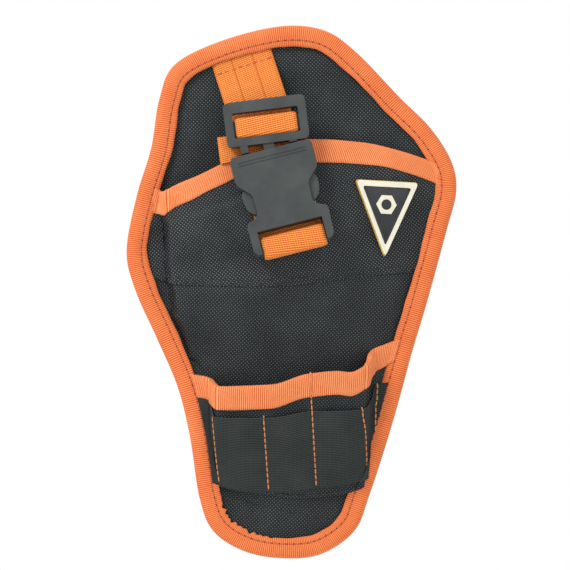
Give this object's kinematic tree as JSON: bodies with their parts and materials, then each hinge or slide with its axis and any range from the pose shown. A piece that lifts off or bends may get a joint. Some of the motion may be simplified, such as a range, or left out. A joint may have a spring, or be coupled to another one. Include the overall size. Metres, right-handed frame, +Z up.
{
  "type": "electrician tool pouch",
  "caption": "Fabric drill holster worn on a belt: padded back, pleated tool pocket, accessory pocket with elastic loops, buckle strap over the mouth, belt loop behind.",
  "frame": {"origin": "middle of the belt tunnel, between the back panel and the belt loop", "axes": "+Z up as worn, front of the pouch faces -Y, +Y towards the wearer's hip"},
  "size_m": [0.2044, 0.0533, 0.3303],
  "materials": {
    "ballistic_weave": "black coarse ballistic weave, slightly glossy",
    "lining": "black plain lining cloth",
    "foam": "grey closed-cell foam",
    "grosgrain_tape": "orange ribbed grosgrain tape",
    "webbing": "orange polypropylene webbing",
    "elastic": "black ribbed elastic",
    "buckle_plastic": "dark grey moulded plastic, fine texture",
    "badge_gold": "yellow soft PVC",
    "badge_cream": "cream soft PVC"
  },
  "bodies": {
    "holster": {"back_face_fabric": "ballistic_weave", "back_foam": "foam", "back_lining": "lining", "edge_binding": "grosgrain_tape", "pocket_upper_panel": "ballistic_weave", "pocket_lower_panel": "ballistic_weave", "pocket_mouth_binding": "grosgrain_tape", "accessory_pocket_panel": "ballistic_weave", "accessory_pocket_binding": "grosgrain_tape", "elastic_band": "elastic", "top_strap": "webbing", "buckle_female": "buckle_plastic", "lower_strap": "webbing", "badge_base": "badge_gold", "badge_border": "badge_cream", "badge_emblem": "badge_cream", "belt_loop": "ballistic_weave"},
    "buckle_male": {"buckle_male_frame": "buckle_plastic", "strap_wrap": "webbing", "strap_tail": "webbing"},
    "prong_left": {"prong_left": "buckle_plastic"},
    "prong_right": {"prong_right": "buckle_plastic"}
  },
  "joints": [
    {"name": "male_slide", "type": "slide", "parent": "holster", "child": "buckle_male", "axis": [-0.2487, 0.1381, 0.9587], "range_m": [0, 0.038], "deforming": ["prong_left", "prong_right"]},
    {"name": "prong_right_squeeze", "type": "hinge", "parent": "buckle_male", "child": "prong_right", "pos_m": [0.00122, -0.03197, -0.00342], "axis": [0, 0.9898, -0.1426], "range_deg": [0, 8], "stiffness_Nm_per_rad": 0.2},
    {"name": "prong_left_squeeze", "type": "hinge", "parent": "buckle_male", "child": "prong_left", "pos_m": [-0.02822, -0.03304, -0.0109], "axis": [0, 0.9898, -0.1426], "range_deg": [-8, 0], "stiffness_Nm_per_rad": 0.2}
  ],
  "couplings": [
    {"joint": "prong_left_squeeze", "follows": "prong_right_squeeze", "ratio": -1}
  ]
}
